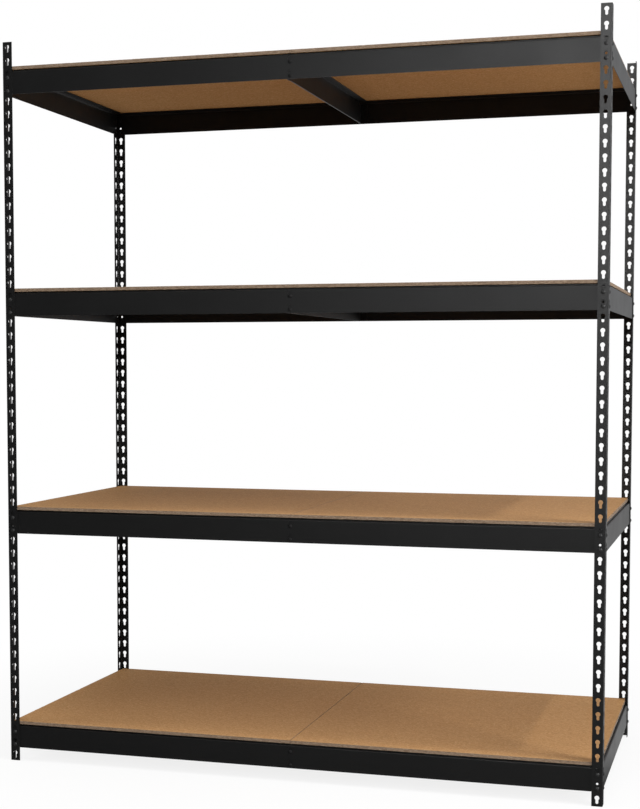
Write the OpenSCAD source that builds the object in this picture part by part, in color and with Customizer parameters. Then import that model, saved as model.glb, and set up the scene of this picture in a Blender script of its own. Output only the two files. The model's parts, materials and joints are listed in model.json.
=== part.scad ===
// Boltless steel shelving unit.
// Four slotted angle posts carry the shelf levels. Each level is a rectangle of stepped
// sheet-steel beams that hang by shoulder rivets in the posts' keyholes, with a support
// across the middle and two loose particle-board panels on top.
// The origin is on the floor under the middle of the unit: +X right, -Y front, +Z up.

/* [Unit] */
// Width over the posts' outer faces
unit_w = 1761.4; // [1200:0.1:2400]
// Depth over the posts' outer faces
unit_d = 843.4; // [450:0.1:1200]
// Number of shelf levels
level_count = 4; // [2:1:4]
// Keyholes from one level to the next
level_step = 17; // [6:1:17]
// Keyhole that holds the lowest level's lower rivets, counting from 0 at the foot
first_level_hole = 1; // [0:1:2]

/* [Posts] */
// Keyholes up each post flange
hole_count = 56; // [56:1:64]
// Distance between keyholes
hole_pitch = 38.1; // [34:0.1:38.5]
// Height of the lowest keyhole's seat above the floor
first_seat_z = 10.65; // [10:0.05:14]
// Width of each post flange
post_flange = 30; // [28:0.5:40]
// Thickness of the post sheet
post_t = 1.8; // [1.5:0.1:2.5]
// Outer radius of the post's corner bend
post_bend_r = 3.6; // [3:0.1:6]
// Distance from the post's outer corner to its rows of keyholes
hole_inset = 15; // [14:0.5:18]

/* [Keyholes] */
// Diameter of the round top that a rivet head goes through
key_d = 12.8; // [12.6:0.1:14]
// Width of the slot that a rivet shoulder drops into
slot_w = 7.5; // [7.2:0.1:8]
// Drop from the round top's centre to the rivet's seat, in a post
key_drop = 12.7; // [11:0.1:14]
// The same drop in a long beam, for the centre support
support_key_drop = 8.6; // [8:0.1:8.8]

/* [Beams] */
// Thickness of the beam and support sheet
beam_t = 1.5; // [1.2:0.1:1.8]
// Height of a beam's flat face, up to its top bend
web_h = 66; // [64:0.5:80]
// Outer radius of a beam's top bend
bend_r = 3; // [2.5:0.1:3.5]
// Inner radius of the tight bends at the ledge step
step_bend_r = 0.9; // [0.5:0.1:1]
// Distance from a beam's face to the riser of its ledge step
step_in = 8; // [7:0.5:12]
// Height of the ledge above the top bend
step_h = 4.9; // [4.5:0.1:6]
// Distance from a beam's face to the tip of its ledge
ledge_w = 28; // [22:1:36]
// Height of the lower rivets above a beam's bottom edge
rivet_edge = 9.2; // [8:0.1:10]
// Diameter of the hole for a locking pin at each beam end
lock_d = 6.5; // [5:0.1:8]
// Clearance between the posts and what lifts out of them
fit_gap = 0.3; // [0.2:0.05:0.5]

/* [Centre support] */
// Width of the support's top flange
support_flange = 27; // [24:1:40]
// Distance from the line of its rivets to the outside of its web
support_inset = 10.7; // [10:0.1:12]
// Width of the support's bottom lip
support_lip = 5; // [4:0.5:8]

/* [Rivets] */
// Diameter of the domed head
rivet_head_d = 12; // [10:0.1:12.4]
// Height of the domed head
rivet_head_h = 3; // [2:0.1:4]
// Diameter of the shoulder
rivet_shoulder_d = 7; // [6:0.1:7]
// Diameter of the tenon that is staked through the sheet
rivet_tenon_d = 5; // [4:0.1:5.5]
// Diameter of the staked tail
rivet_tail_d = 8.6; // [7:0.1:9]
// Height of the staked tail
rivet_tail_h = 1.4; // [1:0.1:1.6]

/* [Decks] */
// Thickness of the particle board
deck_t = 9.5; // [9:0.5:19]
// Gap from a long beam's face plane to the board's edge
deck_gap_long = 0.6; // [0.4:0.1:3]
// Gap from a side beam's face plane to the board's edge
deck_gap_side = 6.4; // [3:0.1:7]
// Gap between the two boards of a level
deck_joint = 0.8; // [0.4:0.1:3]

/* [Hidden] */
steel_colour = [0.14, 0.14, 0.14];
rivet_colour = [0.20, 0.20, 0.20];
board_colour = [0.66, 0.51, 0.36];
eps = 1;
arc_fn = 48;

post_h = hole_pitch * hole_count;
half_w = unit_w / 2;
half_d = unit_d / 2;

// Outer face planes of the beams, just inside the post flanges
long_face_y = half_d - post_t - fit_gap;
side_face_x = half_w - post_t - fit_gap;
// The rivets stand on the lines of the post's keyholes
rivet_x = half_w - hole_inset;
rivet_y = half_d - hole_inset;

ledge_z = web_h + step_h;
step_r = step_bend_r + beam_t;
corner_gap = 0.6;
// The side beams stop short of the long beams' top bends, and the other way round
long_beam_l = 2 * (side_face_x - beam_t - corner_gap);
side_beam_l = 2 * (long_face_y - bend_r - corner_gap);
// The ledges stop where they would meet the other beams at a corner
long_ledge_l = 2 * (side_face_x - bend_r - corner_gap);
side_ledge_l = 2 * (long_face_y - ledge_w - 2 * corner_gap);

support_l = 2 * (long_face_y - ledge_w - corner_gap);
support_tab_y = long_face_y - beam_t;
support_end_h = web_h - bend_r - corner_gap;
support_tab_w = 24;

post_shoulder = post_t + 2 * fit_gap;
support_shoulder = beam_t + fit_gap;

LEVEL_PARTS = [
    "front_beam", "rear_beam", "left_beam", "right_beam",
    "long_beam_rivets", "side_beam_rivets",
    "centre_support", "support_rivets",
    "deck_left", "deck_right"
];

function level_node(n, part) = str("level_", n, "_", part);
function seat_z(hole) = first_seat_z + hole_pitch * hole;
// Bottom edge of a level's beams
function level_z(n) = seat_z(first_level_hole + level_step * (n - 1)) - rivet_edge;
function rivet_heights() = [rivet_edge, rivet_edge + hole_pitch];

// Keyhole outline with its origin at the rivet's seat
module keyhole(drop) {
    translate([0, drop])
        circle(d = key_d, $fn = arc_fn);
    translate([-slot_w / 2, 0])
        square([slot_w, drop]);
    circle(d = slot_w, $fn = arc_fn);
}

// Quarter ring of sheet about the origin, between +X and +Y
module quarter_bend(inner_r, t) {
    intersection() {
        difference() {
            circle(r = inner_r + t, $fn = arc_fn);
            circle(r = inner_r, $fn = arc_fn);
        }
        square(inner_r + t);
    }
}

// Extrudes a profile drawn in Y and Z along X, centred on X = 0
module along_x(length) {
    translate([-length / 2, 0, 0])
        rotate([90, 0, 90])
            linear_extrude(length)
                children();
}

// Repeats its children on the two ends of a piece that is centred on X = 0
module both_ends() {
    for (side = [0, 1])
        mirror([side, 0, 0])
            children();
}

// Angle section with its outer corner at the origin
module post_profile() {
    translate([post_bend_r, 0])
        square([post_flange - post_bend_r, post_t]);
    translate([0, post_bend_r])
        square([post_t, post_flange - post_bend_r]);
    translate([post_bend_r, post_bend_r])
        rotate(180)
            quarter_bend(post_bend_r - post_t, post_t);
}

// Post at the left front corner
module corner_post() {
    translate([-half_w, -half_d, 0])
        difference() {
            linear_extrude(post_h)
                post_profile();
            for (hole = [0 : hole_count - 1]) {
                translate([hole_inset, post_t + eps, seat_z(hole)])
                    rotate([90, 0, 0])
                        linear_extrude(post_t + 2 * eps)
                            keyhole(key_drop);
                translate([-eps, hole_inset, seat_z(hole)])
                    rotate([90, 0, 90])
                        linear_extrude(post_t + 2 * eps)
                            keyhole(key_drop);
            }
        }
}

module post(right, rear) {
    color(steel_colour)
        mirror([right, 0, 0])
            mirror([0, rear, 0])
                corner_post();
}

// Beam section: X is the distance in from the face, Y the height above the bottom edge
module beam_profile() {
    square([beam_t, web_h - bend_r]);
    translate([bend_r, web_h - bend_r])
        mirror([1, 0])
            quarter_bend(bend_r - beam_t, beam_t);
    translate([bend_r, web_h - beam_t])
        square([step_in - step_bend_r - bend_r, beam_t]);
    translate([step_in - step_bend_r, web_h + step_bend_r])
        mirror([0, 1])
            quarter_bend(step_bend_r, beam_t);
    translate([step_in, web_h + step_bend_r])
        square([beam_t, step_h - step_bend_r - step_r]);
    translate([step_in + step_r, ledge_z - step_r])
        mirror([1, 0])
            quarter_bend(step_bend_r, beam_t);
    translate([step_in + step_r, ledge_z - beam_t])
        square([ledge_w - step_in - step_r, beam_t]);
}

// Beam along X with its face at Y = 0 and its bottom edge at Z = 0
module beam(length, ledge_l, rivet_at) {
    difference() {
        along_x(length)
            beam_profile();
        both_ends() {
            translate([ledge_l / 2, bend_r, web_h - bend_r])
                cube([length, ledge_w, step_h + 2 * bend_r]);
            for (z = rivet_heights())
                translate([rivet_at, -eps, z])
                    rotate([-90, 0, 0])
                        cylinder(d = rivet_tenon_d, h = beam_t + 2 * eps, $fn = arc_fn);
            translate([rivet_at, -eps, rivet_edge + key_drop])
                rotate([-90, 0, 0])
                    cylinder(d = lock_d, h = beam_t + 2 * eps, $fn = arc_fn);
        }
    }
}

module long_beam() {
    difference() {
        beam(long_beam_l, long_ledge_l, rivet_x);
        for (z = rivet_heights())
            translate([0, beam_t + eps, z])
                rotate([90, 0, 0])
                    linear_extrude(beam_t + 2 * eps)
                        keyhole(support_key_drop);
    }
}

module front_beam(n) {
    color(steel_colour)
        translate([0, -long_face_y, level_z(n)])
            long_beam();
}

module rear_beam(n) {
    color(steel_colour)
        translate([0, long_face_y, level_z(n)])
            rotate(180)
                long_beam();
}

module left_beam(n) {
    color(steel_colour)
        translate([-side_face_x, 0, level_z(n)])
            rotate(-90)
                beam(side_beam_l, side_ledge_l, rivet_y);
}

module right_beam(n) {
    color(steel_colour)
        translate([side_face_x, 0, level_z(n)])
            rotate(90)
                beam(side_beam_l, side_ledge_l, rivet_y);
}

// Shoulder rivet along -Y: its shoulder stands on the sheet face at Y = 0
module rivet(shoulder_l) {
    dome_r = (pow(rivet_head_d / 2, 2) + pow(rivet_head_h, 2)) / (2 * rivet_head_h);
    color(rivet_colour)
        rotate([90, 0, 0]) {
            translate([0, 0, -beam_t - rivet_tail_h])
                cylinder(d = rivet_tail_d, h = rivet_tail_h, $fn = arc_fn);
            translate([0, 0, -beam_t])
                cylinder(d = rivet_tenon_d, h = beam_t, $fn = arc_fn);
            cylinder(d = rivet_shoulder_d, h = shoulder_l, $fn = arc_fn);
            translate([0, 0, shoulder_l])
                rotate_extrude($fn = arc_fn)
                    intersection() {
                        translate([0, rivet_head_h - dome_r])
                            circle(r = dome_r, $fn = arc_fn);
                        square([rivet_head_d / 2, rivet_head_h]);
                    }
        }
}

// Rivets at both ends of two facing beams
module beam_rivets(n, face, rivet_at) {
    for (turn = [0, 180])
        rotate(turn)
            translate([0, -face, level_z(n)])
                both_ends()
                    for (z = rivet_heights())
                        translate([rivet_at, 0, z])
                            rivet(post_shoulder);
}

module long_beam_rivets(n) {
    beam_rivets(n, long_face_y, rivet_x);
}

module side_beam_rivets(n) {
    rotate(90)
        beam_rivets(n, side_face_x, rivet_y);
}

module support_rivets(n) {
    for (turn = [0, 180])
        rotate(turn)
            for (z = rivet_heights())
                translate([0, -support_tab_y, level_z(n) + z])
                    rivet(support_shoulder);
}

// Lipped channel section: X is the distance in from the web, Y the height
module support_profile() {
    support_r = step_r;
    translate([support_r, 0])
        square([support_lip - support_r, beam_t]);
    translate([support_r, support_r])
        rotate(180)
            quarter_bend(step_bend_r, beam_t);
    translate([0, support_r])
        square([beam_t, ledge_z - 2 * support_r]);
    translate([support_r, ledge_z - support_r])
        mirror([1, 0])
            quarter_bend(step_bend_r, beam_t);
    translate([support_r, ledge_z - beam_t])
        square([support_flange - support_r, beam_t]);
}

// Web end and bent tab in plan: X is the distance in from the web, Y along the support
module support_end_plan() {
    tab_r = step_r;
    end_l = support_tab_y - support_l / 2;
    square([beam_t, end_l - tab_r]);
    translate([tab_r, end_l - tab_r])
        mirror([1, 0])
            quarter_bend(step_bend_r, beam_t);
    translate([tab_r, end_l - beam_t])
        square([support_tab_w - tab_r, beam_t]);
}

module support_end() {
    difference() {
        translate([-support_inset, support_l / 2, 0])
            linear_extrude(support_end_h)
                support_end_plan();
        for (z = rivet_heights())
            translate([0, support_tab_y + eps, z])
                rotate([90, 0, 0])
                    cylinder(d = rivet_tenon_d, h = beam_t + 2 * eps, $fn = arc_fn);
    }
}

module centre_support(n) {
    color(steel_colour)
        translate([0, 0, level_z(n)]) {
            translate([-support_inset, support_l / 2, 0])
                rotate([90, 0, 0])
                    linear_extrude(support_l)
                        support_profile();
            for (rear = [0, 1])
                mirror([0, rear, 0])
                    support_end();
        }
}

// Particle-board panel over one half of a level
module deck(n, side) {
    board_w = side_face_x - deck_gap_side - deck_joint / 2;
    board_d = 2 * (long_face_y - deck_gap_long);
    color(board_colour)
        translate([side * (deck_joint + board_w) / 2 - board_w / 2, -board_d / 2, level_z(n) + ledge_z])
            cube([board_w, board_d, deck_t]);
}

post(0, 0);  // post_front_left
post(1, 0);  // post_front_right
post(0, 1);  // post_rear_left
post(1, 1);  // post_rear_right
for (n = [1 : level_count]) {
    front_beam(n);
    rear_beam(n);
    left_beam(n);
    right_beam(n);
    long_beam_rivets(n);
    side_beam_rivets(n);
    centre_support(n);
    support_rivets(n);
    deck(n, -1);
    deck(n, 1);
}
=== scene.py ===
"""Boltless steel shelving: finishes, boards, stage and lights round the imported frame.

Metres throughout, in the part's own frame: +X right, -Y front, +Z up, origin on the floor. The
camera's lens and sensor are in millimetres, and its angles in radians.
"""

import json
import math
import random

import bmesh
import bpy
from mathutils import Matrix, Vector


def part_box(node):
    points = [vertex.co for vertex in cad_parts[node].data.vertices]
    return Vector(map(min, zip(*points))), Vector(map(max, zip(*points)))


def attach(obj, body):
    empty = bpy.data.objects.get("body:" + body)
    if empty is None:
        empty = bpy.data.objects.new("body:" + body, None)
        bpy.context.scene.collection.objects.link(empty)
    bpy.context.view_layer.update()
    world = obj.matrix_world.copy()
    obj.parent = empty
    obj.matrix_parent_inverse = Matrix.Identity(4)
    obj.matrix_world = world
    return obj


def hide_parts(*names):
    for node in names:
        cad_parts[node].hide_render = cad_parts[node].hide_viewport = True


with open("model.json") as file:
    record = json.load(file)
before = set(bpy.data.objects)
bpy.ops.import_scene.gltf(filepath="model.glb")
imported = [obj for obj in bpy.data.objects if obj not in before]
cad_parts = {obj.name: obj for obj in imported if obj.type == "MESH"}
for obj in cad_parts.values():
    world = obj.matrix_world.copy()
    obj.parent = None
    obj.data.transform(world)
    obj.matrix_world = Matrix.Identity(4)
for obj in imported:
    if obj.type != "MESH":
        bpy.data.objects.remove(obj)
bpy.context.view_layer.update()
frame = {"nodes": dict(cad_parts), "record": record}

MM = 0.001
LEVELS = range(1, 5)
SIDES = ("left", "right")

# Camera: a long lens a little to the right of the unit, looking slightly down
CAMERA_PLACE = (1.2632, -4.5736, 1.1884)
CAMERA_DOWN = 0.064
CAMERA_LEFT = 0.288
CAMERA_LENS = 68.61
CAMERA_SENSOR = 36.0
CAMERA_SHIFT = (0.0234, 0.0738)

# Lamps. The left one fills the left half of the boards, the spill makes the lighter patch at their
# right ends, and neither of the two shows in reflections
LAMPS = {
    "key": dict(place=(5.2, -2.0, 3.0), target=(0.6, 0.0, 0.9), size=(2.4, 3.2), watts=325),
    "front": dict(place=(0.8, -5.4, 2.85), target=(0.7, 0.0, 1.7), size=(1.7, 1.8), watts=135),
    "top": dict(place=(-0.6, -0.4, 7.0), target=(0.0, 0.0, 0.6), size=(5.0, 4.4), watts=150),
    "left": dict(place=(-4.6, -1.2, 2.4), target=(0.0, 0.0, 0.5), size=(1.6, 1.6), watts=82),
    "spill": dict(place=(1.84, -0.57, 3.02), target=(0.7, 0.0, 0.77), size=(0.10, 0.10), watts=17),
}
UNREFLECTED_LAMPS = ("left", "spill")

# Floor: a round sheet just under the feet. To the camera this share of its white is its own glow near
# the middle, and all of it where the fade ends
FLOOR_RADIUS = 60.0
FLOOR_SIDES = 128
FLOOR_DROP = 0.2 * MM
FLOOR_PAINT = 0.86
FLOOR_GLOW = 0.84
FLOOR_FADE = (0.6, 2.2)

# The floor's paint as reflections see it, and as all light but them and the camera sees it
DARK_FLOOR = 0.16
FLOOR_BOUNCE = 0.66

# The lit part of the floor behind the object and to its right, which only shows in reflections, and
# the span along that way over which it comes in
SWEEP_LIGHT = 0.70
SWEEP_WAY = (0.8, 1.0, 0.0)
SWEEP_SPAN = (0.5, 1.0)

# Surroundings: a dim room, and a bright wall behind the object. The wall comes in over this span of
# how far a direction points to the rear
ROOM_COLOUR = (0.97, 0.98, 1.0, 1.0)
ROOM_LIGHT = 0.055
WALL_LIGHT = 0.82
WALL_SPAN = (0.72, 0.97)

# Powder coats by material slot, and a duller, darker copy for the rivets of the centre supports.
# All rivets wear one coat: the hook rivets' greys, lighter than the beams', are a painted reflection
# for the sheen of their heads, and the support rivets' darker greys are painted shade. Greys are
# those of the pebbles, grain is the pebbles' scale, and scuffs says how dusty the scuffs are
COATS = {
    "post_steel": dict(name="post_coat", greys=(0.002, 0.008),
                       roughness=0.42, grain=520.0, scuffs=0.05, gloss=0.34),
    "beam_steel": dict(name="beam_coat", greys=(0.002, 0.007),
                       roughness=0.44, grain=640.0, scuffs=0.03, gloss=0.31),
    # hook rivets: greys lighter than the beam coat, a painted reflection on their heads
    "rivet_steel": dict(name="hook_rivet_lit_coat", greys=(0.010, 0.020),
                        roughness=0.48, grain=900.0, scuffs=0.08, gloss=0.32),
}
# support rivets: the same coat with darker greys, painted shade, and less gloss
SHADED_RIVET_COAT = dict(name="support_rivet_shaded_coat", greys=(0.005, 0.012),
                 roughness=0.60, grain=900.0, scuffs=0.04, gloss=0.12)
SHADED_RIVET_NODES = "support_rivets"
SCUFF_COLOUR = (0.07, 0.069, 0.067, 1.0)
SCUFF_STRETCH = (1.0, 1.0, 0.35)
SCUFF_SPAN = (0.60, 0.80)
PEBBLE_HEIGHT = 0.12 * MM
SHEEN_SPREAD = (-0.05, 0.07)

# Board faces: colours of the flakes from dark to pale, and the shades of fine flakes and of clouds
# with the most that each takes
FLAKE_COLOURS = (
    (0.0, (0.348, 0.176, 0.064)),
    (0.35, (0.439, 0.239, 0.096)),
    (0.75, (0.505, 0.284, 0.120)),
    (1.0, (0.585, 0.360, 0.171)),
)
FINE_SHADE = (0.328, 0.166, 0.061, 1.0)
FINE_AMOUNT = 0.40
CLOUD_SHADE = (0.378, 0.208, 0.089, 1.0)
CLOUD_AMOUNT = 0.22
FACE_HEIGHT = 0.10 * MM
FACE_SPREAD = 0.18

# Board edges: colours of the sawn core from dark to pale, and the dark painted shade inside the open
# voids in it
CORE_COLOURS = (
    (0.0, (0.131, 0.083, 0.049)),
    (0.30, (0.181, 0.121, 0.078)),
    (0.80, (0.222, 0.155, 0.101)),
    (1.0, (0.267, 0.194, 0.134)),
)
# the voids' dark colour is painted shade inside the hollows
VOID_SHADE_COLOUR = (0.075, 0.050, 0.032, 1.0)
VOID_STRETCH = (0.5, 0.5, 1.6)
VOID_SPAN = (0.62, 0.72)
VOID_DEPTH = 0.5 * MM

# Shape of a board's edge: length of one piece of it, rows up it, saw roughness, and how far an arris
# is worn back, or chipped. Up or down it is worn as far, but by no more than a third of the board
EDGE_STEP = 7 * MM
EDGE_ROWS = 4
EDGE_ROUGH = 0.25 * MM
ARRIS = (0.35 * MM, 0.8 * MM)
CHIP = (1.2 * MM, 2.4 * MM)
CHIP_CHANCE = 0.03
ARRIS_LIMIT = 3
BOARD_SEED = 7

# Places of a board's finishes in its mesh
FACE, EDGE, UNDERSIDE = range(3)

# Sockets of a colour Mix node: the amount and both colours, and the result
MIX_INPUTS = (0, 6, 7)
MIX_RESULT = 2


def grey(value):
    """An opaque grey."""
    return (value, value, value, 1.0)


class Nodes:
    """A short way to write a node tree."""

    def __init__(self, tree):
        self.tree = tree
        tree.nodes.clear()

    def add(self, kind, inputs=None, **settings):
        node = self.tree.nodes.new(kind)
        for name, value in settings.items():
            setattr(node, name, value)
        for name, value in (inputs or {}).items():
            self.feed(node.inputs[name], value)
        return node

    def feed(self, socket, value):
        if isinstance(value, bpy.types.NodeSocket):
            self.tree.links.new(value, socket)
        else:
            socket.default_value = value

    def noise(self, where, scale, detail=3.0, rough=0.55):
        inputs = {"Vector": where, "Scale": scale, "Detail": detail, "Roughness": rough}
        return self.add("ShaderNodeTexNoise", inputs).outputs["Fac"]

    def flakes(self, where, stretch, scale):
        """One random value for each cell of a pattern of stretched flakes."""
        inputs = {"Vector": self.stretched(where, stretch), "Scale": scale}
        cells = self.add("ShaderNodeTexVoronoi", inputs).outputs["Color"]
        return self.add("ShaderNodeSeparateColor", {"Color": cells}).outputs[0]

    def ramp(self, value, *stops):
        made = self.add("ShaderNodeValToRGB", {"Fac": value})
        points = made.color_ramp.elements
        while len(points) < len(stops):
            points.new(0.5)
        for point, (place, colour) in zip(points, stops):
            point.position = place
            point.color = (*colour, 1.0)
        return made.outputs["Color"]

    def span(self, value, low, high):
        made = self.add("ShaderNodeMapRange", {"Value": value, "To Min": low, "To Max": high})
        return made.outputs["Result"]

    def soft_step(self, value, source, low, high):
        """From low to high, without corners, while the value crosses the source range."""
        inputs = {"Value": value, "From Min": source[0], "From Max": source[1],
                  "To Min": low, "To Max": high}
        made = self.add("ShaderNodeMapRange", inputs, interpolation_type="SMOOTHSTEP")
        return made.outputs["Result"]

    def mix(self, amount, first, second):
        made = self.add("ShaderNodeMix", data_type="RGBA")
        for socket, value in zip(MIX_INPUTS, (amount, first, second)):
            self.feed(made.inputs[socket], value)
        return made.outputs[MIX_RESULT]

    def bump(self, height, distance, strength):
        inputs = {"Height": height, "Distance": distance, "Strength": strength}
        return self.add("ShaderNodeBump", inputs).outputs["Normal"]

    def place(self):
        return self.add("ShaderNodeTexCoord").outputs["Object"]

    def stretched(self, where, scale):
        return self.add("ShaderNodeMapping", {"Vector": where, "Scale": scale}).outputs["Vector"]

    def paint(self, colour):
        return self.add("ShaderNodeBsdfDiffuse", {"Color": colour}).outputs[0]

    def glow(self, strength):
        return self.add("ShaderNodeEmission", {"Color": grey(1.0), "Strength": strength}).outputs[0]

    def either(self, amount, first, second):
        """The first shader, giving way to the second as the amount goes from 0 to 1."""
        return self.add("ShaderNodeMixShader", {0: amount, 1: first, 2: second}).outputs[0]


def new_material(name):
    material = bpy.data.materials.new(name)
    material.use_nodes = True
    return material, Nodes(material.node_tree)


def finish_material(n, **inputs):
    shader = n.add("ShaderNodeBsdfPrincipled", {k.replace("_", " "): v for k, v in inputs.items()})
    n.add("ShaderNodeOutputMaterial", {"Surface": shader.outputs["BSDF"]})


def put(name, data):
    """A new object in the scene."""
    made = bpy.data.objects.new(name, data)
    bpy.context.scene.collection.objects.link(made)
    return made


def mesh_from(name, bm):
    mesh = bpy.data.meshes.new(name)
    bm.to_mesh(mesh)
    bm.free()
    return mesh


def powder_coat(name, greys, roughness, grain, scuffs, gloss):
    """Black powder coat: a fine pebbled skin, cloudy sheen and a few dusty scuffs."""
    material, n = new_material(name)
    where = n.place()
    clouds = n.noise(where, scale=9.0, detail=4.0)
    pebbles = n.noise(where, scale=grain, detail=2.0, rough=0.6)
    dust = n.noise(n.stretched(where, SCUFF_STRETCH), scale=60.0, detail=6.0, rough=0.7)
    dark, light = map(grey, greys)
    coat = n.mix(n.span(pebbles, 0.0, 1.0), dark, light)
    clean, dusty = SCUFF_SPAN
    worn = n.ramp(dust, (clean, (0.0, 0.0, 0.0)), (dusty, (scuffs, scuffs, scuffs)))
    finish_material(n, Base_Color=n.mix(worn, coat, SCUFF_COLOUR),
                    Roughness=n.span(clouds, *(roughness + change for change in SHEEN_SPREAD)),
                    Specular_IOR_Level=gloss,
                    Normal=n.bump(pebbles, PEBBLE_HEIGHT, strength=0.5))
    return material


def board_face(name, gloss, roughness):
    """Sanded particle board: coarse flakes that lie along X and fine ones along Y, with clouds."""
    material, n = new_material(name)
    where = n.place()
    chips = n.flakes(where, stretch=(1.0, 1.7, 1.0), scale=230.0)
    fine = n.flakes(where, stretch=(1.9, 1.0, 1.0), scale=520.0)
    cloud = n.noise(where, scale=3.5, detail=5.0)
    colour = n.mix(n.span(fine, 0.0, FINE_AMOUNT), n.ramp(chips, *FLAKE_COLOURS), FINE_SHADE)
    colour = n.mix(n.span(cloud, 0.0, CLOUD_AMOUNT), colour, CLOUD_SHADE)
    finish_material(n, Base_Color=colour,
                    Roughness=n.span(fine, roughness, roughness + FACE_SPREAD),
                    Specular_IOR_Level=gloss,
                    Normal=n.bump(n.noise(where, scale=700.0), FACE_HEIGHT, strength=0.5))
    return material


def board_edge():
    """Sawn edge: a coarse core in several browns, with open voids dented in and painted dark as shade.
    """
    material, n = new_material("particle_board_edge")
    where = n.place()
    core = n.flakes(where, stretch=(0.55, 0.55, 2.2), scale=330.0)
    voids = n.noise(n.stretched(where, VOID_STRETCH), scale=420.0, detail=4.0, rough=0.7)
    solid, open_void = VOID_SPAN
    void_shade = n.ramp(voids, (solid, (0.0, 0.0, 0.0)), (open_void, (1.0, 1.0, 1.0)))
    # voids take the dark painted shade over the core's browns
    finish_material(n, Base_Color=n.mix(void_shade, n.ramp(core, *CORE_COLOURS), VOID_SHADE_COLOUR),
                    Roughness=0.82,
                    Normal=n.bump(voids, -VOID_DEPTH, strength=0.8))
    return material


def edge_points(low, high):
    """Points round a rectangle about one edge step apart, each with its inward direction."""
    corners = [(low.x, low.y), (high.x, low.y), (high.x, high.y), (low.x, high.y)]
    inward = [(0, 1), (-1, 0), (0, -1), (1, 0)]
    for i, (start, along_in) in enumerate(zip(corners, inward)):
        end = corners[(i + 1) % len(corners)]
        before = inward[i - 1]
        count = max(1, round(math.dist(start, end) / EDGE_STEP))
        for k in range(count):
            part = k / count
            place = (start[0] + (end[0] - start[0]) * part, start[1] + (end[1] - start[1]) * part)
            way = (along_in[0] + before[0], along_in[1] + before[1]) if k == 0 else along_in
            yield Vector((*place, 0.0)), Vector((*way, 0.0))


def worn_arris(rng):
    """How far an arris is worn back at one point, which now and then is a chip."""
    reach = CHIP if rng.random() < CHIP_CHANCE else ARRIS
    return rng.uniform(*reach)


def edge_columns(bm, low, high, rng):
    """Columns of points up the edge, each from the underside's border to the face's border."""
    columns = []
    for place, way in edge_points(low, high):
        arris = [worn_arris(rng), worn_arris(rng)]
        drop = [min(a, (high.z - low.z) / ARRIS_LIMIT) for a in arris]
        column = [(place + way * arris[0], low.z)]
        for row in range(EDGE_ROWS + 1):
            z = low.z + drop[0] + (high.z - low.z - drop[0] - drop[1]) * row / EDGE_ROWS
            column.append((place + way * rng.uniform(0, EDGE_ROUGH), z))
        column.append((place + way * arris[1], high.z))
        columns.append([bm.verts.new((p.x, p.y, z)) for p, z in column])
    return columns


def board(name, low, high, rng):
    """One board inside its box: edges a little rough, arrises worn and here and there chipped."""
    bm = bmesh.new()
    columns = edge_columns(bm, low, high, rng)
    for k, column in enumerate(columns):
        following = columns[(k + 1) % len(columns)]
        for row in range(len(column) - 1):
            corners = (column[row], following[row], following[row + 1], column[row + 1])
            bm.faces.new(corners).material_index = EDGE
    top = bm.faces.new([column[-1] for column in columns])
    top.material_index = FACE
    bottom = bm.faces.new([column[0] for column in reversed(columns)])
    bottom.material_index = UNDERSIDE
    bmesh.ops.triangulate(bm, faces=[top, bottom])
    bm.normal_update()
    return put(name, mesh_from(name, bm))


def make_boards():
    finishes = {FACE: board_face("particle_board_face", gloss=0.14, roughness=0.62),
                EDGE: board_edge(),
                UNDERSIDE: board_face("particle_board_underside", gloss=0.04, roughness=0.80)}
    rng = random.Random(BOARD_SEED)
    for level in LEVELS:
        for side in SIDES:
            node = f"level_{level}_deck_{side}"
            piece = board(f"board_{level}_{side}", *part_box(node), rng)
            for place in sorted(finishes):
                piece.data.materials.append(finishes[place])
            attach(piece, node)
            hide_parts(node)


def paint_steel():
    finishes = {slot: powder_coat(**coat) for slot, coat in COATS.items()}
    shaded_rivet_finish = powder_coat(**SHADED_RIVET_COAT)
    for sub in frame["record"]["subparts"]:
        finish = finishes.get(sub["material_slot"])
        if sub["node"].endswith(SHADED_RIVET_NODES):
            finish = shaded_rivet_finish
        if finish is not None:
            mesh = frame["nodes"][sub["node"]].data
            mesh.materials.clear()
            mesh.materials.append(finish)


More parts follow.
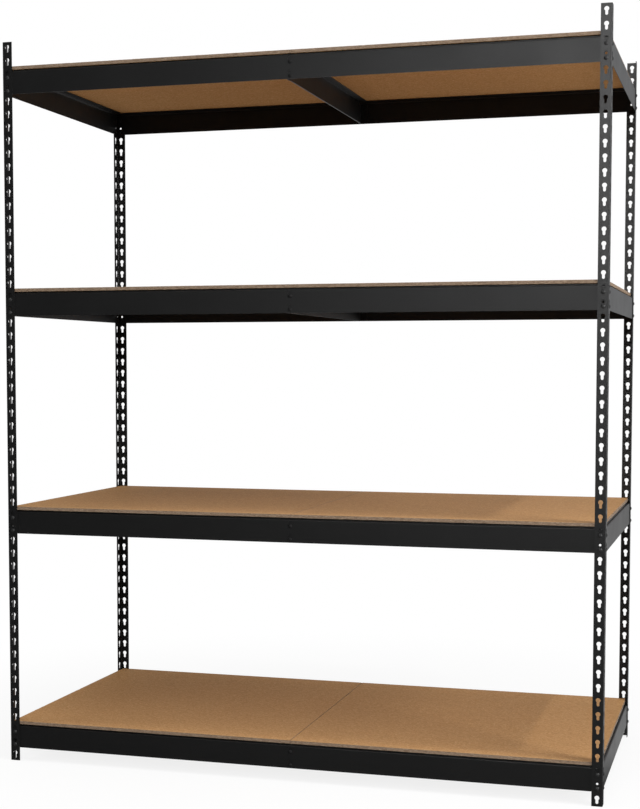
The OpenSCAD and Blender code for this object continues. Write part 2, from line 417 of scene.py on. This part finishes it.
def make_floor():
    """Round pale floor that fades to plain white well away from the object.

    The camera sees it white with a soft shadow. Reflections see it dark in front of the object and lit
    behind it, and all other light sees it an even grey.
    """
    material, n = new_material("floor_white")
    where = n.place()
    far = n.add("ShaderNodeVectorMath", {0: where}, operation="LENGTH").outputs["Value"]
    fade = n.soft_step(far, FLOOR_FADE, FLOOR_GLOW, 1.0)
    shown = n.either(fade, n.paint(grey(FLOOR_PAINT)), n.glow(1.0))
    towards = n.add("ShaderNodeVectorMath", {0: where, 1: SWEEP_WAY}, operation="DOT_PRODUCT")
    sweep = n.glow(n.soft_step(towards.outputs["Value"], SWEEP_SPAN, 0.0, SWEEP_LIGHT))
    mirrored = n.add("ShaderNodeAddShader", {0: n.paint(grey(DARK_FLOOR)), 1: sweep}).outputs[0]
    rays = n.add("ShaderNodeLightPath").outputs
    unseen = n.either(rays["Is Glossy Ray"], n.paint(grey(FLOOR_BOUNCE)), mirrored)
    surface = n.either(rays["Is Camera Ray"], unseen, shown)
    n.add("ShaderNodeOutputMaterial", {"Surface": surface})
    bm = bmesh.new()
    bmesh.ops.create_circle(bm, cap_ends=True, segments=FLOOR_SIDES, radius=FLOOR_RADIUS)
    floor = put("floor", mesh_from("floor", bm))
    floor.data.materials.append(material)
    floor.location.z = -FLOOR_DROP


def make_light(name, place, target, size, watts):
    data = bpy.data.lights.new(name, "AREA")
    data.shape = "RECTANGLE"
    data.size, data.size_y = size
    data.energy = watts
    lamp = put(name, data)
    lamp.location = place
    lamp.rotation_euler = (Vector(target) - Vector(place)).to_track_quat("-Z", "Y").to_euler()
    lamp.visible_camera = False
    lamp.visible_glossy = name not in UNREFLECTED_LAMPS


def make_lights():
    for name, settings in LAMPS.items():
        make_light(name, **settings)


def make_world():
    """White to the camera. Everything else sees a dim room with a bright wall behind the object."""
    world = bpy.data.worlds.new("studio")
    bpy.context.scene.world = world
    world.use_nodes = True
    n = Nodes(world.node_tree)
    sky = n.add("ShaderNodeTexCoord").outputs["Generated"]
    back = n.add("ShaderNodeSeparateXYZ", {"Vector": sky}).outputs["Y"]
    wall = n.soft_step(back, WALL_SPAN, ROOM_LIGHT, WALL_LIGHT)
    room = n.add("ShaderNodeBackground", {"Color": ROOM_COLOUR, "Strength": wall})
    white = n.add("ShaderNodeBackground", {"Color": grey(1.0), "Strength": 1.0})
    seen = n.add("ShaderNodeLightPath").outputs["Is Camera Ray"]
    surface = n.either(seen, room.outputs[0], white.outputs[0])
    n.add("ShaderNodeOutputWorld", {"Surface": surface})


def set_tones():
    """Plain display tones, so that white paint in full light is white and black steel stays black."""
    bpy.context.scene.view_settings.view_transform = "Standard"
    bpy.context.scene.view_settings.look = "None"


def make_camera():
    data = bpy.data.cameras.new("camera")
    data.sensor_width = CAMERA_SENSOR
    data.lens = CAMERA_LENS
    data.shift_x, data.shift_y = CAMERA_SHIFT
    camera = put("camera", data)
    camera.location = CAMERA_PLACE
    camera.rotation_euler = (math.pi / 2 - CAMERA_DOWN, 0.0, CAMERA_LEFT)
    bpy.context.scene.camera = camera


paint_steel()
make_boards()
make_floor()
make_world()
make_lights()
set_tones()
make_camera()
